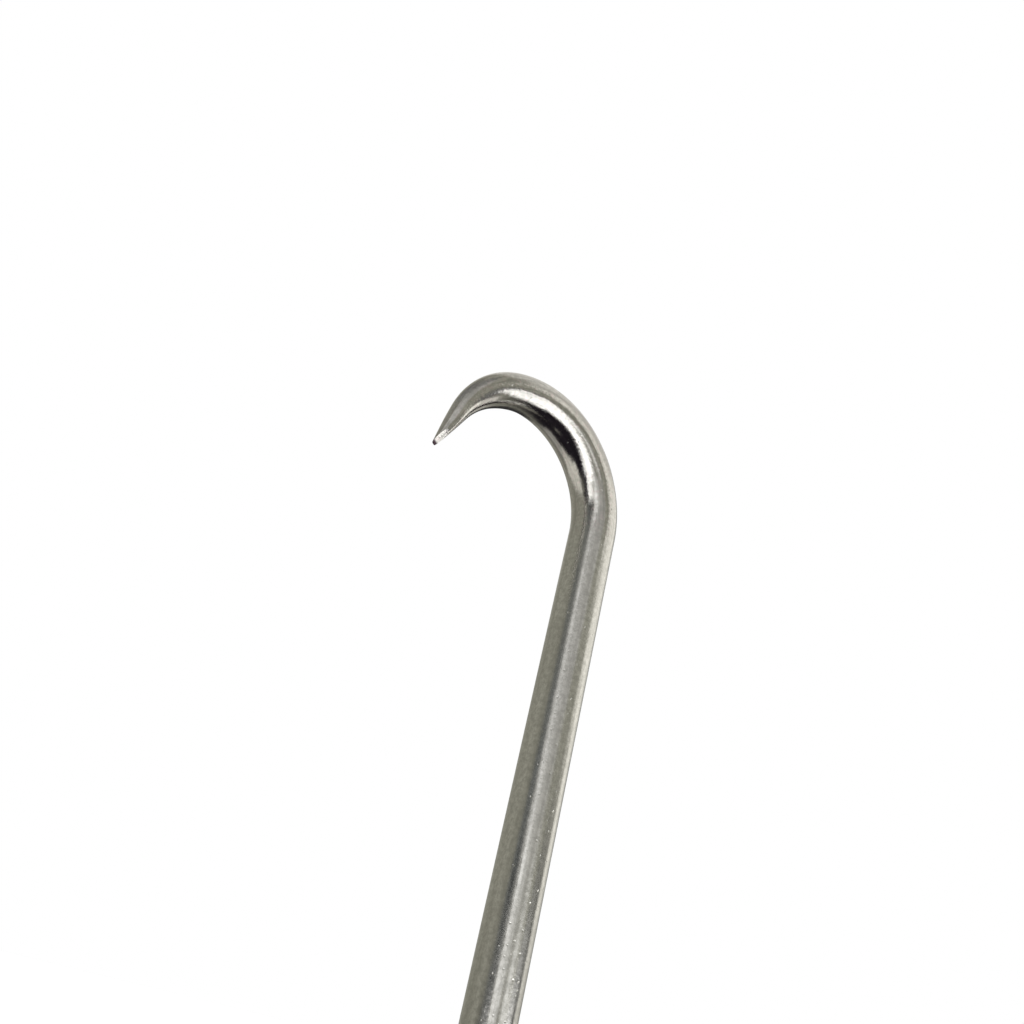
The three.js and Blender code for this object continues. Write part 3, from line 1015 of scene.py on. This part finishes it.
# %% Steel of the fastenings
plain_steel, t = new_finish("plain_steel")
in_mm = place_in_mm(t)
smudge = place_group(t, smudge_group, Place=in_mm, Per_Millimetre=0.5)
pits = place_group(t, pits_group, Place=in_mm, Per_Millimetre=2.2, Share=0.3, Width=0.2)
lines = place_group(t, lines_group, Place=in_mm, Across=4.0, Along=3.0, Seed=7.0)
worn = rubbed_edges(t, 0.51, 0.57)
roughness = sums(t, "MULTIPLY_ADD", smudge.outputs["Amount"], 0.14, 0.30)
colour = blended(t, smudge.outputs["Amount"], (0.56, 0.55, 0.53, 1), (0.45, 0.44, 0.42, 1))
colour = blended(t, sums(t, "MULTIPLY", worn, 0.8), colour, (0.70, 0.69, 0.67, 1))
surface = relief(t, 0.004 * MM, lines.outputs["Height"])
surface = relief(t, 0.015 * MM, pits.outputs["Height"], over=surface)
finish_as_metal(t, colour, roughness, surface)
for piece in (nut, flat_washer, spring_washer, pin):
    piece.data.materials.append(plain_steel)
print("steels:", bar_steel.name, collar_steel.name, plain_steel.name)

# %% [markdown]
# ## Oiled hardwood
# Wood is solid, so its pattern is made in the solid too: growth rings are tubes round the heart of the tree,
# which lay a few centimetres off the grip's axis. Where the turned surface cuts them at a slant they make
# the long ovals on the barrel, and at the ends they show as arcs, without any extra work. Fine fibres and
# dark open pores run along the grain. The grip and its plug share one group, with the grain turned.

# %% Wood grain
HEART_ASIDE = 21.0  # mm from the grip's axis to the heart of the tree
HEART_BELOW = 34.0
BOW = 11.0  # mm that a growth ring wanders

wood_group, inside, outside = new_group(
    "wood_grain",
    [("Along Grain", VECTOR, None), ("Rings Per Millimetre", FLOAT, 0.42)],
    [("Ring", FLOAT), ("Fibre", FLOAT), ("Pore", FLOAT), ("Height", FLOAT)],
)
t = wood_group
spot = inside.outputs["Along Grain"]
bow = cloudy(t, stretched(t, spot, 0.018, 0.05, 0.05), detail=3.0)
wobble = sums(t, "MULTIPLY", sums(t, "SUBTRACT", bow, 0.5), BOW)
parts = add(t, "ShaderNodeSeparateXYZ", Vector=spot)
squared = [
    sums(t, "POWER", sums(t, "ADD", parts.outputs[axis], aside), 2.0)
    for axis, aside in ((1, HEART_ASIDE), (2, HEART_BELOW))
]
from_heart = sums(t, "SQRT", sums(t, "ADD", *squared))
ring_place = sums(t, "MULTIPLY", sums(t, "ADD", from_heart, wobble), inside.outputs["Rings Per Millimetre"])
growth = sums(t, "FRACT", ring_place)
ring = sums(t, "MULTIPLY", sums(t, "POWER", growth, 3.0), between(t, growth, 0.93, 1.0, 1.0, 0.0))

fibre = cloudy(t, stretched(t, spot, 0.25, 5.0, 5.0), detail=4.0, roughness=0.6)
pore_place = stretched(t, spot, 0.22, 2.2, 2.2)
pore_cells = add(t, "ShaderNodeTexVoronoi", {"feature": "F1"}, Vector=pore_place, Scale=1.0, Randomness=1.0)
pore = between(t, pore_cells.outputs["Distance"], 0.08, 0.24, 1.0, 0.0)
early = sums(t, "SUBTRACT", 1.0, sums(t, "MULTIPLY", growth, 0.75))
pore = sums(t, "MULTIPLY", pore, early)
height = sums(t, "MULTIPLY_ADD", pore, -1.0, sums(t, "MULTIPLY", fibre, 0.35))
height = sums(t, "MULTIPLY_ADD", ring, 0.25, height)
for label, value in (("Ring", ring), ("Fibre", fibre), ("Pore", pore), ("Height", height)):
    t.links.new(value, outside.inputs[label])
print("wood grain:", len(t.nodes), "nodes")

# %% [markdown]
# Oil soaks deepest into the pores and the soft early wood, so those are the darkest, and hands polish the
# edges lighter. The grip's grain runs along it. The plug is cut across the board, so it shows end grain.
# The grip is kept out of mirror reflections: the steel is lit as if it stood alone.

# %% Oiled wood, in two cuts
def oiled_wood(name, turn_grain, light, mid, dark):
    """turn_grain turns the row's axes so that the grain runs along X."""
    material, t = new_finish(name)
    in_mm = place_in_mm(t)
    grain_place = add(
        t, "ShaderNodeVectorRotate", {"rotation_type": "EULER_XYZ"}, Vector=in_mm, Rotation=turn_grain
    ).outputs[0]
    wood = place_group(t, wood_group, Along_Grain=grain_place, Rings_Per_Millimetre=0.50)
    smudge = place_group(t, smudge_group, Place=in_mm, Per_Millimetre=0.045).outputs["Amount"]
    dents = place_group(t, pits_group, Place=in_mm, Per_Millimetre=0.22, Share=0.35, Width=0.22)
    colour = light
    for share, shade in (
        (wood.outputs["Ring"], mid),
        (between(t, wood.outputs["Fibre"], 0.38, 0.66, 0.0, 0.75), mid),
        (sums(t, "MULTIPLY", wood.outputs["Pore"], 0.75), dark),
        (sums(t, "MULTIPLY", smudge, 0.35), dark),
        (sums(t, "MULTIPLY", rubbed_edges(t, 0.505, 0.54), 0.35), light),
    ):
        colour = blended(t, share, colour, shade)
    roughness = sums(t, "MULTIPLY_ADD", smudge, -0.10, 0.50)
    roughness = sums(t, "MULTIPLY_ADD", wood.outputs["Pore"], 0.2, roughness)
    surface = relief(t, 0.10 * MM, dents.outputs["Height"], strength=0.6)
    surface = relief(t, 0.05 * MM, wood.outputs["Height"], over=surface, strength=0.8)
    finish_with(t, add(
        t, "ShaderNodeBsdfPrincipled", Base_Color=colour, Roughness=roughness,
        Coat_Weight=0.25, Coat_Roughness=0.28, Normal=surface,
    ))
    return material


grip.visible_glossy = False
grip.data.materials.append(oiled_wood(
    "oiled_wood", (0.06, 0.02, 0.03),
    light=(0.250, 0.112, 0.048, 1), mid=(0.125, 0.050, 0.022, 1), dark=(0.036, 0.015, 0.008, 1),
))
plug.data.materials.append(oiled_wood(
    "oiled_wood_plug", (0.3, math.radians(84), 0.4),
    light=(0.27, 0.125, 0.056, 1), mid=(0.15, 0.062, 0.028, 1), dark=(0.042, 0.018, 0.009, 1),
))
print("woods:", grip.data.materials[0].name, plug.data.materials[0].name)

# %% [markdown]
# ## Placing the pieces on the frame
# Nothing on this hook moves, so everything rides on its one body. Each finished piece stands for the plain
# solid in the design, which is hidden.

# %% Ride and replace
for piece, node, slot in (
    (bar, "hook_rod", "hook_steel"),
    (collar, "shank_collar", "collar_steel"),
    (grip, "wooden_grip", "grip_wood"),
    (flat_washer, "palm_washer", "fastener_steel"),
    (spring_washer, "lock_washer", "fastener_steel"),
    (nut, "palm_nut", "fastener_steel"),
    (plug, "palm_plug", "plug_wood"),
    (pin, "cross_pin", "fastener_steel"),
):
    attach(piece, "root")
    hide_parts(node)
    print(f"{piece.name} stands for {node}")

# %% [markdown]
# ## The studio
# Polished steel has hardly any colour of its own: it shows the room. So the room matters more than the
# steel's colour. Lamps and boards could stand round the hook, but it is simpler to paint them on the world
# as large soft cards, each given by its compass bearing and its height above the horizon, in degrees as
# seen from the hook. Behind them is a wall, grey above and dark below. The view's own background is white.

# %% The cards
Card = namedtuple(
    "Card", "bearing height half_width half_height colour strength soft lean", defaults=(8.0, 0.0)
)
WHITE = (1.0, 1.0, 1.0)
SOFT_WHITE = (1.00, 0.99, 0.96)
WARM = (1.00, 0.98, 0.92)
TUBE = (1.0, 1.0, 0.98)
COOL = (0.95, 1.0, 1.0)
TEAL = (0.85, 1.0, 1.0)
PLUM = (1.0, 0.85, 1.1)
cards = [
    Card(195, 60, 76, 15, SOFT_WHITE, 0.27, soft=16),  # dim ceiling
    Card(92, -40, 26, 15, WARM, 0.50, soft=14),  # low, right of the point
    Card(138, -33, 33, 20, (1.00, 0.98, 0.90), 0.95, soft=12),  # low, behind the point
    Card(240, 30, 34, 24, SOFT_WHITE, 0.60, soft=16),  # wall behind the viewer
    Card(10, 56, 70, 27, WARM, 0.84, soft=20),  # high pale wall to the right
    Card(8, 16, 16, 14, WARM, 0.72, soft=12),  # the same wall, lower
    Card(352, 1, 13, 9, WARM, 0.95, soft=7),  # foot of the window
    Card(352, 22, 13, 16, WARM, 1.50, soft=7),  # window
    Card(336, 27, 18, 10, WARM, 1.35, soft=9),  # its upper corner
    Card(312, 34, 13, 7, WARM, 1.30, soft=6),  # skylight
    Card(44, 12, 16, 26, WHITE, 0.05, soft=8),  # dark doorway beside it
    Card(276, 2, 9, 5, TUBE, 1.20, soft=6),  # narrow light
    Card(245, 0, 10, 12, TUBE, 0.95, soft=8),  # light beside the viewer
    Card(199, 16, 12, 16, COOL, 0.20, soft=12),  # grey flag
    Card(208, 3, 12, 6, TEAL, 0.02, soft=5),  # black flag below it
    Card(231, 4, 6, 9, WHITE, 1.45, soft=4),  # thin strip light
    Card(222, 20, 5, 8, WHITE, 1.15, soft=5, lean=-0.6),  # its top
    Card(318, 4, 20, 6, WHITE, 0.17, soft=6),  # black flag on the other side
    Card(211, -14, 12, 12, WHITE, 2.2, soft=4),  # tall strip light
    Card(266, -27, 60, 13.5, WHITE, 2.4, soft=6),  # large low soft box
    Card(303, -8, 19, 9, WHITE, 2.2, soft=4),  # its upper end
    Card(195, -18, 11, 16, PLUM, 0.03, soft=5, lean=-0.75),  # black flag by the strip light
    Card(208, -50, 22, 14, PLUM, 0.02, soft=6, lean=-0.6),  # its foot
]
print(len(cards), "cards")

# %% [markdown]
# Each card is a soft-edged mask in bearing and height, and the masks are laid over the wall in turn. Only
# rays that come straight from the camera see white instead.

# %% The room
WALL_LOW = (0.020, 0.017, 0.022, 1)
WALL_HIGH = (0.385, 0.380, 0.325, 1)

world = bpy.data.worlds.new("studio")
bpy.context.scene.world = world
world.use_nodes = True
t = world.node_tree
t.nodes.clear()
look = add(t, "ShaderNodeTexCoord").outputs["Generated"]
parts = add(t, "ShaderNodeSeparateXYZ", Vector=look)
bearing = sums(t, "DEGREES", sums(t, "ARCTAN2", parts.outputs[1], parts.outputs[0]))
height = sums(t, "DEGREES", sums(t, "ARCSINE", parts.outputs[2]))


def inside_of(distance, half, soft):
    """1 within half of the middle, fading to 0 over a soft edge."""
    return between(t, sums(t, "ABSOLUTE", distance), half - soft / 2, half + soft / 2, 1.0, 0.0)


wall = blended(t, between(t, height, -50, 5), WALL_LOW, WALL_HIGH)
for card in cards:
    above = sums(t, "SUBTRACT", height, card.height)
    middle = sums(t, "MULTIPLY_ADD", above, card.lean, card.bearing)
    beside = sums(t, "WRAP", sums(t, "SUBTRACT", bearing, middle), 180.0, -180.0)
    across = inside_of(beside, card.half_width, card.soft)
    mask = sums(t, "MULTIPLY", across, inside_of(above, card.half_height, card.soft))
    wall = blended(t, mask, wall, (*(card.strength * part for part in card.colour), 1))
seen = add(t, "ShaderNodeLightPath").outputs["Is Camera Ray"]
sky = add(t, "ShaderNodeBackground", Color=blended(t, seen, wall, (1, 1, 1, 1)), Strength=1.0)
t.links.new(sky.outputs[0], t.nodes.new("ShaderNodeOutputWorld").inputs["Surface"])
print("the room has", len(t.nodes), "nodes")

# %% [markdown]
# ## The key light and the floor
# One broad sun gives the wood its shape and a soft shadow, and it whitens the floor. It is kept out of the
# steel, where the cards already do its work.

# %% The key light
key_data = bpy.data.lights.new("key", "SUN")
key_data.energy = 3.1
key_data.angle = math.radians(40)
key = in_scene("key", key_data)
key.rotation_euler = Vector((0.35, 0.45, -1.0)).to_track_quat("-Z", "Y").to_euler()
key.visible_glossy = False
print("key light:", key_data.energy, "strong")

# %% [markdown]
# The floor is one pale sheet, so wide that its edge is never seen. It is left out of mirror reflections, as
# a studio does by flagging it off, and from below it can be looked through, so that the palm side shows.

# %% The floor
FLOOR_HALF = 3.0
PALE = (0.80, 0.80, 0.79, 1)
PALER = (0.83, 0.83, 0.82, 1)

floor_mesh = bpy.data.meshes.new("floor")
corner_signs = ((-1, -1), (1, -1), (1, 1), (-1, 1))
floor_corners = [(FLOOR_HALF * x, FLOOR_HALF * y, 0) for x, y in corner_signs]
floor_mesh.from_pydata(floor_corners, [], [(0, 1, 2, 3)])
floor = in_scene("floor", floor_mesh)
floor_paint, t = new_finish("floor_paint")
speck = cloudy(t, place_in_mm(t), scale=0.09, detail=5.0)
shade = blended(t, between(t, speck, 0.3, 0.7), PALE, PALER)
paint = add(t, "ShaderNodeBsdfDiffuse", Color=shade)
clear = add(t, "ShaderNodeBsdfTransparent")
mirrored = add(t, "ShaderNodeLightPath").outputs["Is Glossy Ray"]
from_below = add(t, "ShaderNodeNewGeometry").outputs["Backfacing"]
let_through = sums(t, "MAXIMUM", mirrored, from_below)
finish_with(t, add(t, "ShaderNodeMixShader", i0=let_through, i1=paint.outputs[0], i2=clear.outputs[0]))
floor.data.materials.append(floor_paint)
print("floor is", 2 * FLOOR_HALF, "m across")
